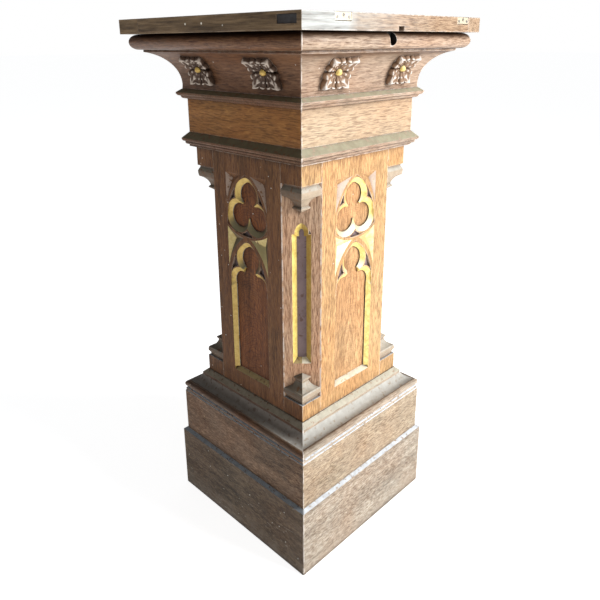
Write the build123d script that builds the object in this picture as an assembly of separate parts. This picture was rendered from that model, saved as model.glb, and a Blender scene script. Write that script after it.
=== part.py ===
"""Gothic oak pillar alms box: a square pedestal with tracery panels, a coved head and a hinged, lockable lid.

Millimetres. +Z is up, the origin is on the floor under the pillar's axis, and the front is -Y.
"""
import os
from math import cos, radians, sin, sqrt

from build123d import *

# Heights of the courses, from the floor up
LOWER_PLINTH_TOP = 159.0
UPPER_PLINTH_TOP = 265.0
BASE_TOP = 320.9
SHAFT_TOP = 844.5
NECK_TOP = 873.8
FRIEZE_TOP = 941.0
STRING_TOP = 960.4
COVE_TOP = 1031.0
RAIL_BOTTOM = 1035.4
RAIL_TOP = 1064.0
LID_BOTTOM = 1064.5
LID_TOP = 1091.5

# Half widths of the courses, from the axis to the face
LOWER_PLINTH_HALF = 203.8
UPPER_PLINTH_HALF = 195.6
SHAFT_HALF = 153.0
FRIEZE_HALF = 162.1
COVE_FOOT_HALF = 168.5
COVE_REACH = 50.5
COVE_BACK_HALF = 219.6
RAIL_HALF = 239.0
LID_HALF = 250.0
BOARD = 22.0

# Shaft: canted corner posts with tracery boards between them
CANT_LEG = 53.8
POST_INNER_LEG = 30.0
FACE_HALF = SHAFT_HALF - CANT_LEG
CANT_DISTANCE = (2 * SHAFT_HALF - CANT_LEG) / sqrt(2)
SPLAY_DEPTH = 7.5
TRACERY_THICK = 10.0
PANEL_THICK = 8.0

# Tracery of one face, in the face's own width and height
OPENING_HALF = 60.0
OPENING_TOP = 804.0
SILL_Z = 358.8
SILL_RISE = 7.0
ARCH_RADIUS = 122.0
ARCH_OFFSET = 57.0
UPPER_SPRING = 704.0
UPPER_BAR = 6.5
LOWER_SPRING = 573.0
LOWER_BAR = 9.5
BELLY_Z = 792.0
BELLY_OUTER = 118.0
BELLY_INNER = 113.0
LIGHT_HALF = 56.0
UPPER_FOILS = ((0, 763.5, 24.0), (0, 776.0, 13.0), (-26.0, 718.5, 25.0), (26.0, 718.5, 25.0))
UPPER_EYE = (0, 735.0, 19.5)
LOWER_FOILS = ((0, 629.0, 25.5), (0, 642.0, 14.0), (-26.0, 574.0, 22.8), (26.0, 574.0, 22.8))
LOWER_EYE = (0, 595.0, 20.0)
FOIL_SPLAY = 1.5
JAMB_REAR_HALF = 47.7
PIT_SPLAY = 1.6
UPPER_FIELD_FOOT = 660.0
TOP_SPANDREL_FOOT = 730.0
MIDDLE_SPANDRELS = (590.0, 700.0)
UPPER_EYELETS = ((-45.0, 757.0, 22.0), (45.0, 757.0, 22.0), (0, 690.0, 17.0))
LOWER_EYELETS = ((-44.0, 618.0, 22.0), (44.0, 618.0, 22.0))
FOIL_RIM = 1.0
FOIL_SINK = 1.0
EYELET_DEPTH = 5.0

# Lancet recess in each canted face
LANCET_HALF = 18.2
LANCET_FLOOR_HALF = 9.2
LANCET_SILL = 433.0
LANCET_SHOULDER = 706.0
LANCET_APEX = 728.0
LANCET_HEAD_HALF = 13.0
LANCET_DEPTH = 11.0
LANCET_EYE_HALF = 4.6
EYELET_X = (14.4, 18.0)
EYELET_RISE = (0.8, 8.0)

# Chamfer stops: half widths, then heights from the pointed tip to the end of the square block
STOP_CAP_HALF = 138.2
STOP_NECK_HALF = 135.0
STOP_NOSE_HALF = SHAFT_HALF - 1.5
STOP_GROOVE_HALF = SHAFT_HALF - 4.0
TOP_STOP = (748.3, 756.6, 758.6, 762.0, 781.0, 801.0, 804.5, SHAFT_TOP + 1.5)
FOOT_STOP = (411.5, 404.0, 401.5, 397.0, 379.0, 363.0, 357.5, 300.0)

# Carved rosettes on the cove
ROSETTE_X = (-92.0, 92.0)
ROSETTE_OUT = 184.5
ROSETTE_Z = 1001.5
ROSETTE_TILT = 128.0
ROSETTE_THICK = 9.0
BUTTON_R = 6.5

# Lid and its hinges
CLEAT_WIDTH = 42.0
BACK_RAIL_WIDTH = 68.0
JOINT_GAP = 0.3
HINGE_Y = 242.0
HINGE_Z = 1064.25
HINGE_X = 150.0
KNUCKLE_R = 3.5
PIN_R = 1.5
PIN_BORE_R = 1.55
LEAF_THICK = 1.2
LEAF_LENGTH = 48.0
LEAF_REACH = 46.0
HINGE_THROAT = 4.5
HINGE_SCREW_STEP = 15.0
SLOT_LENGTH = 52.0
SLOT_WIDTH = 7.0
SLOT_PLATE_THICK = 1.5
LEAF_SPANS = ((-178.5, -140.5), (167.0, 205.0))
SIDE_PLATE = (-240.0, -199.0)

# Lock, set in the front rail
LOCK_X = -12.0
LOCK_FRONT = -224.0
LOCK_DEPTH = 18.0
LOCK_HALF_LENGTH = 30.0
LOCK_BOTTOM = 1040.0
LOCK_WALL = 1.6
BARREL_X = LOCK_X - 4.0
BARREL_Z = 1052.0
BARREL_R = 5.5

# Money well
WELL_HALF = FRIEZE_HALF - BOARD
SHELF_Z = 868.0
SHELF_THICK = 12.0
TIN_HALF = 104.0
TIN_HEIGHT = 62.0
TIN_WALL = 1.2

REACH = 600.0
SIDES = {"front": 0, "right": 90, "back": 180, "left": 270}
CORNERS = {"front_left": 0, "front_right": 90, "back_right": 180, "back_left": 270}


def save(name, shape):
    """Write one piece, or one group of like pieces, as a STEP file."""
    export_step(shape, f"parts/{name}.step")


def block(x, y, z):
    """A box between the two ends given along each axis."""
    centre = ((x[0] + x[1]) / 2, (y[0] + y[1]) / 2, (z[0] + z[1]) / 2)
    return Pos(*centre) * Box(abs(x[1] - x[0]), abs(y[1] - y[0]), abs(z[1] - z[0]))


def turned(shape, angle):
    return Rot(0, 0, angle) * shape


def mitre_wedge():
    """The quarter of the plan that belongs to the front side."""
    plan = Polygon((0, 0), (-REACH, -REACH), (REACH, -REACH), align=None)
    return extrude(plan, 2 * REACH)


def front_run(*edges):
    """A front moulding: a section drawn as (distance from axis, height), cut to 45 degree mitres."""
    section = make_face(Curve() + list(edges))
    flipped = mirror(section, Plane.YZ)
    return extrude(Plane.YZ * flipped, REACH, both=True) & mitre_wedge()


def straight(*points):
    return [Line(a, b) for a, b in zip(points, points[1:])]


def closed(*points):
    return straight(*points, points[0])


def four_sides(name, piece, separate=True):
    """Save the same mitred length on all four sides."""
    pieces = {side: turned(piece, angle) for side, angle in SIDES.items()}
    if separate:
        for side, shape in pieces.items():
            save(f"{name}_{side}", shape)
    else:
        save(name, Compound(children=list(pieces.values())))


def plinth_courses():
    lower = closed((LOWER_PLINTH_HALF, 0), (LOWER_PLINTH_HALF, LOWER_PLINTH_TOP - 4),
                   (UPPER_PLINTH_HALF, LOWER_PLINTH_TOP), (UPPER_PLINTH_HALF - BOARD, LOWER_PLINTH_TOP),
                   (UPPER_PLINTH_HALF - BOARD, 0))
    four_sides("lower_plinth", front_run(*lower))
    upper = closed((UPPER_PLINTH_HALF, LOWER_PLINTH_TOP), (UPPER_PLINTH_HALF, UPPER_PLINTH_TOP - 2),
                   (UPPER_PLINTH_HALF - 2, UPPER_PLINTH_TOP), (UPPER_PLINTH_HALF - BOARD, UPPER_PLINTH_TOP),
                   (UPPER_PLINTH_HALF - BOARD, LOWER_PLINTH_TOP))
    four_sides("upper_plinth", front_run(*upper))


def base_moulding():
    """Weathered slope, fillet, hollow and roll, planted round the foot of the shaft."""
    edges = straight((SHAFT_HALF, UPPER_PLINTH_TOP), (SHAFT_HALF, BASE_TOP), (154.9, BASE_TOP),
                     (164.5, 312), (164.5, 306))
    edges += [ThreePointArc((164.5, 306), (173.5, 294.5), (188, 289))]
    edges += straight((188, 289), (189.5, 289))
    edges += [ThreePointArc((189.5, 289), (195.4, 281), (190.5, 272.5))]
    edges += straight((190.5, 272.5), (194, 270), (194, UPPER_PLINTH_TOP), (SHAFT_HALF, UPPER_PLINTH_TOP))
    four_sides("base_moulding", front_run(*edges))


def neck_moulding():
    """Weathered slope over a nose, with two small steps back to the shaft."""
    edges = straight((SHAFT_HALF, SHAFT_TOP), (162.9, SHAFT_TOP), (162.9, 849))
    edges += [ThreePointArc((162.9, 849), (167.8, 850), (168.6, 854.5))]
    edges += straight((168.6, 854.5), (172, 855.5), (174.1, 858.5), (174.1, 861.5), (FRIEZE_HALF, NECK_TOP),
                      (SHAFT_HALF, NECK_TOP), (SHAFT_HALF, SHAFT_TOP))
    four_sides("neck_moulding", front_run(*edges), separate=False)


def head_boards():
    """Frieze boards: their faces show between the two mouldings and they carry the cove."""
    frieze = closed((FRIEZE_HALF, NECK_TOP), (FRIEZE_HALF, RAIL_BOTTOM), (WELL_HALF, RAIL_BOTTOM),
                    (WELL_HALF, SHAFT_TOP), (SHAFT_HALF - JOINT_GAP, SHAFT_TOP),
                    (SHAFT_HALF - JOINT_GAP, NECK_TOP))
    four_sides("frieze", front_run(*frieze))


def string_moulding():
    edges = straight((FRIEZE_HALF, FRIEZE_TOP), (165.5, FRIEZE_TOP))
    edges += [ThreePointArc((165.5, FRIEZE_TOP), (169.6, 942.6), (171.5, 946.5))]
    edges += straight((171.5, 946.5), (175.5, 947.5), (178.2, 950.5), (178.2, 953.7), (169, STRING_TOP),
                      (FRIEZE_HALF, STRING_TOP), (FRIEZE_HALF, FRIEZE_TOP))
    four_sides("string_moulding", front_run(*edges), separate=False)


def cove_point(t):
    """A point on the cove's face: t is 0 at its foot and 1 at its top."""
    angle = radians(90 * t)
    return (COVE_FOOT_HALF + COVE_REACH * (1 - cos(angle)), STRING_TOP + (COVE_TOP - STRING_TOP) * sin(angle))


def cove():
    start, middle, end = (cove_point(t) for t in (0, 0.5, 1))
    edges = straight((FRIEZE_HALF, STRING_TOP), start)
    edges += [ThreePointArc(start, middle, end)]
    edges += straight(end, (COVE_BACK_HALF, COVE_TOP), (COVE_BACK_HALF, RAIL_BOTTOM),
                      (FRIEZE_HALF, RAIL_BOTTOM), (FRIEZE_HALF, STRING_TOP))
    four_sides("cove", front_run(*edges))


def rail_piece():
    """The top frame: a flat board with a half-round nose."""
    middle = (RAIL_TOP + RAIL_BOTTOM) / 2
    radius = (RAIL_TOP - RAIL_BOTTOM) / 2
    flat = RAIL_HALF - radius
    edges = straight((WELL_HALF, RAIL_TOP), (flat, RAIL_TOP))
    edges += [ThreePointArc((flat, RAIL_TOP), (RAIL_HALF, middle), (flat, RAIL_BOTTOM))]
    edges += straight((flat, RAIL_BOTTOM), (WELL_HALF, RAIL_BOTTOM), (WELL_HALF, RAIL_TOP))
    return front_run(*edges)


def screw_holes(x):
    """The three screws of the hinge leaf centred on x."""
    centres = (x - HINGE_SCREW_STEP, x, x + HINGE_SCREW_STEP)
    return [Pos(centre, HINGE_Y - 28, RAIL_TOP - 6) * Cylinder(2, 12) for centre in centres]


def top_rails():
    """The four lengths of the top frame, with the lock mortise in front and the hinge beds behind."""
    plain = rail_piece()
    save("top_rail_left", turned(plain, SIDES["left"]))
    save("top_rail_right", turned(plain, SIDES["right"]))
    mortise = block((LOCK_X - LOCK_HALF_LENGTH, LOCK_X + LOCK_HALF_LENGTH),
                    (LOCK_FRONT, LOCK_FRONT + LOCK_DEPTH), (LOCK_BOTTOM, LID_TOP))
    key_slot = block((BARREL_X - 9, BARREL_X + 9), (-REACH, LOCK_FRONT), (1050.5, LID_TOP))
    key_slot += Pos(BARREL_X, LOCK_FRONT, 1050.5) * Rot(90, 0, 0) * Cylinder(9, 60)
    save("top_rail_front", plain - mortise - key_slot)
    back = turned(plain, SIDES["back"])
    for x in (-HINGE_X, HINGE_X):
        back -= block((x - LEAF_LENGTH / 2, x + LEAF_LENGTH / 2), (HINGE_Y - LEAF_REACH, HINGE_Y + 20),
                      (RAIL_TOP - LEAF_THICK, LID_TOP))
        for hole in screw_holes(x):
            back -= hole
    save("top_rail_back", back)


def square_moulding(edges):
    """A section, as (half width, height), carried round a square column with mitred corners."""
    face = make_face(Curve() + list(edges))
    along_x = extrude(Plane.YZ * mirror(face, Plane.YZ), REACH, both=True)
    along_y = extrude(Plane.XZ * mirror(face, Plane.YZ), REACH, both=True)
    return along_x & along_y


def stop_edges(tip, cap, cap_edge, neck, sweep, nose, groove, end):
    """Section of a moulded chamfer stop, from its pointed tip to the end of its square block.

    Each argument is a height: a slope runs from tip to cap, a hollow from neck to sweep, then a nose that
    swells to its crest and falls back into the groove.
    """
    slope_foot = (STOP_CAP_HALF, cap_edge)
    start, finish = (STOP_NECK_HALF, neck), (STOP_NOSE_HALF, sweep)
    edges = straight((0, tip), (CANT_DISTANCE / sqrt(2), tip), (STOP_CAP_HALF, cap), slope_foot, start)
    bend = (STOP_NECK_HALF + 0.36 * (STOP_NOSE_HALF - STOP_NECK_HALF), neck + 0.64 * (sweep - neck))
    edges += [ThreePointArc(start, bend, finish)]
    crest = (SHAFT_HALF, sweep + 0.6 * (nose - sweep))
    swell = (SHAFT_HALF - 0.35, sweep + 0.28 * (nose - sweep))
    edges += [ThreePointArc(finish, swell, crest)]
    edges += straight(crest, (STOP_GROOVE_HALF, nose), (STOP_GROOVE_HALF, groove), (SHAFT_HALF, groove),
                      (SHAFT_HALF, end), (0, end), (0, tip))
    return edges


def disc(x, z, radius):
    return Pos(x, z) * Circle(radius)


def patch(x, z):
    """A rectangle between the two ends given along each axis."""
    return Pos((x[0] + x[1]) / 2, (z[0] + z[1]) / 2) * Rectangle(x[1] - x[0], z[1] - z[0])


def union(areas):
    areas = list(areas)
    total = areas[0]
    for area in areas[1:]:
        total += area
    return total


def arch(spring, radius, half):
    """The area under a pointed arch, above its springing line."""
    both = disc(-ARCH_OFFSET, spring, radius) & disc(ARCH_OFFSET, spring, radius)
    return both & patch((-half, half), (spring, spring + 2 * radius))


def upper_field(inset=0):
    """Three-sided figure under the upper arch: straight jambs and a sagging lower bar."""
    half = OPENING_HALF - inset
    body = arch(UPPER_SPRING, ARCH_RADIUS - UPPER_BAR - inset, half)
    body += patch((-half, half), (UPPER_FIELD_FOOT, UPPER_SPRING))
    return body & disc(0, BELLY_Z, BELLY_INNER - inset)


def lower_field(inset=0):
    half = LIGHT_HALF - inset
    body = arch(LOWER_SPRING, ARCH_RADIUS - LOWER_BAR - inset, half)
    return body + patch((-half, half), (SILL_Z + SILL_RISE, LOWER_SPRING))


def foiled(field, foils, eye):
    """The outline that pierces the board: the foils run together through the eye."""
    return (union(disc(*foil) for foil in foils) + disc(*eye)) & field


def cone(x, z, front, rear, depth):
    """A cone in the face's own axes, with its radii at the front of the board and at a depth behind it."""
    lead = (front - rear) / depth
    return Pos(x, z, (1 - depth) / 2) * Cone(rear, front + lead, depth + 1)


def splays(foils):
    """Cutters for the splayed edge that each foil has in front of its pierced outline."""
    grow = FOIL_SPLAY * SPLAY_DEPTH
    return [cone(x, z, radius + grow, radius, SPLAY_DEPTH) for x, z, radius in foils]


def eyelets(field, foils, roots):
    """Small sunk triangles left between the splayed foils and the arch."""
    grow = FOIL_SPLAY * SPLAY_DEPTH + FOIL_RIM
    return (field & union(disc(*root) for root in roots)) - union(disc(x, z, r + grow) for x, z, r in foils)


def pit(z, top_splay):
    """A spandrel's space: splayed back from the stile, and from the rail above where there is one."""
    back = PIT_SPLAY * TRACERY_THICK
    front = patch((0, OPENING_HALF + PIT_SPLAY), (z[0], z[1] + PIT_SPLAY * top_splay))
    rear = patch((0, OPENING_HALF - back), (z[0], z[1] - back * top_splay))
    return loft([Pos(0, 0, 1) * front, Pos(0, 0, -TRACERY_THICK) * rear])


def kept_round(x, z, radius):
    """The solid kept round an arch: it widens towards the back of the board."""
    return cone(x, z, radius, radius + PIT_SPLAY * TRACERY_THICK, TRACERY_THICK)


def spandrels():
    """Right-hand spandrels of a face, above the upper arch and above the lower one."""
    top = pit((TOP_SPANDREL_FOOT, OPENING_TOP), 1) - kept_round(-ARCH_OFFSET, UPPER_SPRING, ARCH_RADIUS)
    middle = pit(MIDDLE_SPANDRELS, 0) - kept_round(-ARCH_OFFSET, LOWER_SPRING, ARCH_RADIUS)
    return top, middle - kept_round(0, BELLY_Z, BELLY_OUTER)


def jamb_cutter():
    """The tall light between its foils and its sill, with splayed jambs."""
    lead = (LIGHT_HALF - JAMB_REAR_HALF) / SPLAY_DEPTH
    front, step, back = -SHAFT_HALF - 1, SPLAY_DEPTH - SHAFT_HALF, 2 * TRACERY_THICK - SHAFT_HALF
    rear, wide = JAMB_REAR_HALF, LIGHT_HALF + lead
    plan = Polygon((-wide, front), (wide, front), (rear, step), (rear, back),
                   (-rear, back), (-rear, step), align=None)
    sill = SILL_Z + SILL_RISE
    return Pos(0, 0, sill) * extrude(plan, LOWER_FOILS[-1][1] - sill)


def tracery_board():
    """The front face of the shaft: stiles and rails with the splayed tracery between them."""
    face = Plane(origin=(0, -SHAFT_HALF, 0), x_dir=(1, 0, 0), z_dir=(0, -1, 0))
    upper, lower = upper_field(), lower_field()
    board = extrude(face * patch((-FACE_HALF, FACE_HALF), (BASE_TOP, SHAFT_TOP)), -TRACERY_THICK)
    for field, foils, eye, roots in ((upper, UPPER_FOILS, UPPER_EYE, UPPER_EYELETS),
                                     (lower, LOWER_FOILS, LOWER_EYE, LOWER_EYELETS)):
        board -= extrude(face * foiled(field, foils, eye), -2 * TRACERY_THICK)
        prism = extrude(face * field, -2 * TRACERY_THICK)
        for cutter in splays(foils):
            board -= face.location * cutter & prism
        board -= extrude(face * eyelets(field, foils, roots), -EYELET_DEPTH)
    heads = upper + (lower & patch((-OPENING_HALF, OPENING_HALF), (LOWER_FOILS[-1][1], OPENING_TOP)))
    board -= extrude(face * heads, -FOIL_SINK)
    board -= jamb_cutter()
    for spandrel in spandrels():
        board -= face.location * spandrel
        board -= face.location * mirror(spandrel, Plane.YZ)
    slope = Polygon((-SHAFT_HALF, SILL_Z), (-SHAFT_HALF, SILL_Z + SILL_RISE),
                    (TRACERY_THICK - SHAFT_HALF, SILL_Z + SILL_RISE), align=None)
    board -= extrude(Plane.YZ * slope, LIGHT_HALF, both=True)
    return max(board.solids(), key=lambda solid: solid.volume)  # leaves out the chip freed between two cuts


def shaft_faces():
    four_sides("tracery", tracery_board())
    back = TRACERY_THICK - SHAFT_HALF
    panel = block((-FACE_HALF, FACE_HALF), (back, back + PANEL_THICK), (BASE_TOP - 8, SHAFT_TOP))
    four_sides("backing_panel", panel)


def pointed(half, base, shoulder, apex):
    """Outline of a small pointed light: straight sides to the shoulder, then two arcs to the apex."""
    rise = apex - shoulder
    radius = (half ** 2 + rise ** 2) / (2 * half)
    middle = shoulder + 0.55 * rise
    reach = half - radius + sqrt(radius ** 2 - (middle - shoulder) ** 2)
    edges = straight((-half, shoulder), (-half, base), (half, base), (half, shoulder))
    edges += [ThreePointArc((half, shoulder), (reach, middle), (0, apex))]
    edges += [ThreePointArc((0, apex), (-reach, middle), (-half, shoulder))]
    return make_face(Curve() + edges)


def lancet_recess():
    """Cutter for the splayed recess in a canted face: a long light with a small cusped head."""
    diagonal = CANT_DISTANCE / sqrt(2)
    face = Plane(origin=(-diagonal, -diagonal, 0), x_dir=(1, -1, 0), z_dir=(-1, -1, 0))
    floor = face.offset(-LANCET_DEPTH)
    splay = LANCET_HALF - LANCET_FLOOR_HALF
    outer = patch((-LANCET_HALF, LANCET_HALF), (LANCET_SILL, LANCET_SHOULDER))
    inner = patch((-LANCET_FLOOR_HALF, LANCET_FLOOR_HALF), (LANCET_SILL + splay, LANCET_SHOULDER - splay + 2))
    long_light = loft([face * outer, floor * inner])
    head = pointed(LANCET_HEAD_HALF, LANCET_SHOULDER - 6, LANCET_SHOULDER + 3, LANCET_APEX)
    eye = pointed(LANCET_EYE_HALF, LANCET_SHOULDER - 12, LANCET_SHOULDER + 1, LANCET_SHOULDER + 8)
    small_head = loft([face * head, floor * eye])
    low, high = (LANCET_SHOULDER + rise for rise in EYELET_RISE)
    near, far = EYELET_X
    corners = [Polygon((s * near, low), (s * far, low), (s * near, high), align=None) for s in (-1, 1)]
    eyelets = extrude(face * union(corners), -LANCET_DEPTH / 2)
    return [long_light, small_head, eyelets]


def corner_post():
    """Front left post: a square corner cut to a cant between two moulded stops."""
    near, far = -SHAFT_HALF, -FACE_HALF
    inner = near + POST_INNER_LEG
    plan = Polygon((far, near), (far, inner), (inner, far), (near, far), align=None)
    post = Pos(0, 0, UPPER_PLINTH_TOP - 100) * extrude(plan, SHAFT_TOP - UPPER_PLINTH_TOP + 100)
    corner = Polygon((near, near), (far, near), (near, far), align=None)
    corner_prism = extrude(corner, SHAFT_TOP)
    for heights in (TOP_STOP, FOOT_STOP):
        post += square_moulding(stop_edges(*heights)) & corner_prism
    for cutter in lancet_recess():
        post -= cutter
    return post & block((near, far + 1), (near, far + 1), (0, SHAFT_TOP))


def corner_posts():
    post = corner_post()
    for corner, angle in CORNERS.items():
        save(f"corner_post_{corner}", turned(post, angle))


def rosettes():
    """Carved paterae, two to a side, lying on the slope of the cove, each with a gilt button."""
    carvings, buttons = [], []
    petal = Pos(16, 0, 0) * Ellipse(15, 11)
    flower = union([Rot(0, 0, 45 + 90 * n) * petal for n in range(4)] + [Circle(9)])
    carving = extrude(flower, ROSETTE_THICK)
    dome = Sphere(BUTTON_R) & Pos(0, 0, BUTTON_R) * Box(3 * BUTTON_R, 3 * BUTTON_R, 2 * BUTTON_R)
    button = Pos(0, 0, ROSETTE_THICK) * dome
    for angle in SIDES.values():
        for x in ROSETTE_X:
            place = Rot(0, 0, angle) * Pos(x, -ROSETTE_OUT, ROSETTE_Z) * Rot(ROSETTE_TILT, 0, 0)
            carvings.append(place * carving)
            buttons.append(place * button)
    return carvings, buttons


def cut_from_cove():
    """Rosettes are let into the cove: keep only what stands proud of it."""
    foot, middle, top = (cove_point(t) for t in (0, 0.5, 1))
    section = straight((0, FRIEZE_TOP), (0, RAIL_TOP), (COVE_BACK_HALF, RAIL_TOP))
    section += straight((COVE_BACK_HALF, RAIL_TOP), (COVE_BACK_HALF, COVE_TOP), top)
    section += [ThreePointArc(top, middle, foot)]
    section += straight(foot, (COVE_FOOT_HALF, FRIEZE_TOP), (0, FRIEZE_TOP))
    core = square_moulding(section)
    carvings, buttons = rosettes()
    save("rosettes", Compound(children=[piece - core for piece in carvings]))
    save("rosette_buttons", Compound(children=buttons))


def lid():
    """The top board with its end cleat, back rail, slot plate and old fitting plates let into the edge."""
    cleat_x = LID_HALF - CLEAT_WIDTH
    rail_y = LID_HALF - BACK_RAIL_WIDTH
    board = block((-LID_HALF, cleat_x), (-LID_HALF, rail_y), (LID_BOTTOM, LID_TOP))
    cleat = block((cleat_x, LID_HALF), (-LID_HALF, LID_HALF), (LID_BOTTOM, LID_TOP))
    back = block((-LID_HALF, cleat_x), (rail_y, LID_HALF), (LID_BOTTOM, LID_TOP))
    plate = block((-42, 42), (-14, 14), (LID_TOP - SLOT_PLATE_THICK, LID_TOP))
    half_length, half_width = SLOT_LENGTH / 2, SLOT_WIDTH / 2
    slot = block((-half_length, half_length), (-half_width, half_width), (LID_BOTTOM, LID_TOP))
    keeper_bed = block((LOCK_X - 6, LOCK_X + 38), (-223, -207), (LID_BOTTOM, LID_BOTTOM + 1.5))
    notch = block((-17, -2), (-LID_HALF, 14 - LID_HALF), (LID_BOTTOM, LID_BOTTOM + 8))
    front_bed = union(block(x, (-LID_HALF, 2 - LID_HALF), (1078.5, LID_TOP)) for x in LEAF_SPANS)
    side_bed = block((-LID_HALF, 3 - LID_HALF), SIDE_PLATE, (1074, 1087))
    save("lid_board", board - plate - slot - keeper_bed - notch - front_bed - side_bed)
    save("lid_cleat", cleat)
    for x in (-HINGE_X, HINGE_X):
        back -= block((x - 25, x + 25), (HINGE_Y - 5, LID_HALF), (LID_BOTTOM, LID_BOTTOM + 5))
        back -= block((x - LEAF_LENGTH / 2, x + LEAF_LENGTH / 2), (HINGE_Y - LEAF_REACH, LID_HALF),
                      (LID_BOTTOM, LID_BOTTOM + LEAF_THICK))
    save("lid_back_rail", back)
    save("coin_slot_plate", plate - slot)


def old_fittings():
    """Two brass leaves on the front edge and an iron plate on the left edge, left from a fitting now gone."""
    leaves, screws = [], []
    for span in LEAF_SPANS:
        leaves.append(block(span, (0.4 - LID_HALF, 2 - LID_HALF), (1079, LID_TOP - 0.5)))
        for share in (0.14, 0.5, 0.86):
            x = span[0] + share * (span[1] - span[0])
            z = 1085.2 + (1.6 if share == 0.5 else -1.6)
            screws.append(Pos(x, 0.2 - LID_HALF, z) * Rot(90, 0, 0) * Cylinder(2.4, 0.4))
    save("edge_leaves", Compound(children=leaves))
    save("edge_leaf_screws", Compound(children=screws))
    length = (SIDE_PLATE[0] + 0.5, SIDE_PLATE[1] - 0.5)
    side_plate = block((0.8 - LID_HALF, 3 - LID_HALF), length, (1074.5, 1086.5))
    save("edge_side_plate", side_plate)


def knuckle(x, start, end):
    return Pos(x + (start + end) / 2, HINGE_Y, HINGE_Z) * Rot(0, 90, 0) * Cylinder(KNUCKLE_R, end - start)


def hinges():
    """Two butt hinges under the back of the lid."""
    half, third, play = LEAF_LENGTH / 2, LEAF_LENGTH / 6, 0.3
    fixed, moving, pins, screws = [], [], [], []
    low = (RAIL_TOP - LEAF_THICK, RAIL_TOP)
    high = (LID_BOTTOM, LID_BOTTOM + LEAF_THICK)
    for x in (-HINGE_X, HINGE_X):
        bore = Pos(x, HINGE_Y, HINGE_Z) * Rot(0, 90, 0) * Cylinder(PIN_BORE_R, LEAF_LENGTH + 2)
        leaf = block((x - half, x + half), (HINGE_Y - LEAF_REACH, HINGE_Y), low)
        leaf -= block((x - third, x + third), (HINGE_Y - HINGE_THROAT, HINGE_Y), (RAIL_BOTTOM, LID_TOP))
        leaf += knuckle(x, -half, -third) + knuckle(x, third, half)
        upper = block((x - half, x + half), (HINGE_Y - LEAF_REACH, HINGE_Y - HINGE_THROAT), high)
        upper += block((x - third + play, x + third - play), (HINGE_Y - HINGE_THROAT - 0.1, HINGE_Y), high)
        upper += knuckle(x, play - third, third - play)
        for hole in screw_holes(x):
            leaf -= hole
            screws.append(hole)
        fixed.append(leaf - bore)
        moving.append(upper - bore)
        pins.append(Pos(x, HINGE_Y, HINGE_Z) * Rot(0, 90, 0) * Cylinder(PIN_R, LEAF_LENGTH))
    save("hinge_rail_leaves", Compound(children=fixed))
    save("hinge_lid_leaves", Compound(children=moving))
    save("hinge_pins", Compound(children=pins))
    save("hinge_screws", Compound(children=screws))


def lock():
    """Iron chest lock: a case in the rail, a key barrel, a sliding bolt, and a staple on the lid."""
    x = (LOCK_X - LOCK_HALF_LENGTH, LOCK_X + LOCK_HALF_LENGTH)
    y = (LOCK_FRONT, LOCK_FRONT + LOCK_DEPTH)
    z = (LOCK_BOTTOM, RAIL_TOP)
    wall = LOCK_WALL
    case = block(x, y, z)
    case -= block((x[0] + wall, x[1] - wall), (y[0] + wall, y[1] - wall), (z[0] + wall, z[1] - wall))
    case -= block((2.5, 8.5), (-220, -210), (RAIL_TOP - 5, LID_TOP))
    case -= Pos(BARREL_X, y[0], BARREL_Z) * Rot(90, 0, 0) * Cylinder(BARREL_R + 0.05, 8)
    save("lock_case", case)
    barrel = Pos(BARREL_X, y[0] + 1.4, BARREL_Z) * Rot(90, 0, 0) * Cylinder(BARREL_R, 6)
    barrel += block((BARREL_X - 1.5, BARREL_X + 1.5), (y[0] + 4, y[0] + 6), (BARREL_Z - 2, BARREL_Z + 4))
    barrel -= block((BARREL_X - 0.8, BARREL_X + 0.8), (y[0] - 2, y[0] + 2), (BARREL_Z - 3.5, BARREL_Z + 2.5))
    save("lock_barrel", barrel)
    save("lock_bolt", block((-16, 3.4), (-216.8, -213.2), (1053.8, 1057.8)))
    staple = block((LOCK_X - 5.7, LOCK_X + 37.7), (-222.7, -207.3), (LID_BOTTOM, LID_BOTTOM + 1.5))
    staple += block((4, 7), (-219, -211), (1050, LID_BOTTOM + 1))
    save("lid_staple", staple - block((3, 8), (-217.6, -212.4), (1053, 1058.6)))


def money_well():
    """Shelf on two bearers inside the head, with a lift-out sheet tin standing on it."""
    half = WELL_HALF - JOINT_GAP
    save("well_shelf", block((-half, half), (-half, half), (SHELF_Z, SHELF_Z + SHELF_THICK)))
    bearers = [block((s * half, s * (half - 18)), (-half, half), (SHELF_Z - 18, SHELF_Z)) for s in (-1, 1)]
    save("shelf_bearers", Compound(children=bearers))
    floor = SHELF_Z + SHELF_THICK + 0.05
    tin = block((-TIN_HALF, TIN_HALF), (-TIN_HALF, TIN_HALF), (floor, floor + TIN_HEIGHT))
    inside = TIN_HALF - TIN_WALL
    tin -= block((-inside, inside), (-inside, inside), (floor + TIN_WALL, floor + 2 * TIN_HEIGHT))
    rim = TIN_HALF + 1.6
    bead = block((-rim, rim), (-rim, rim), (floor + TIN_HEIGHT - 4, floor + TIN_HEIGHT))
    bead -= block((-inside, inside), (-inside, inside), (floor, floor + 2 * TIN_HEIGHT))
    save("coin_tin", tin + bead)


def main():
    os.makedirs("parts", exist_ok=True)
    plinth_courses()
    base_moulding()
    corner_posts()
    shaft_faces()
    neck_moulding()
    head_boards()
    string_moulding()
    cove()
    cut_from_cove()
    top_rails()
    lid()
    old_fittings()
    hinges()
    lock()
    money_well()


main()
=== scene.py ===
"""Looks for the Gothic oak pillar alms box: old oak, gilt tracery, limed rosettes, brass and iron.

Metres, in the CAD model's own frame: +Z up, the front is -Y, the origin is on the floor.
"""
from math import cos, exp, hypot, pi, radians, sin

import bmesh
import bpy
from mathutils import Matrix, Vector


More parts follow.
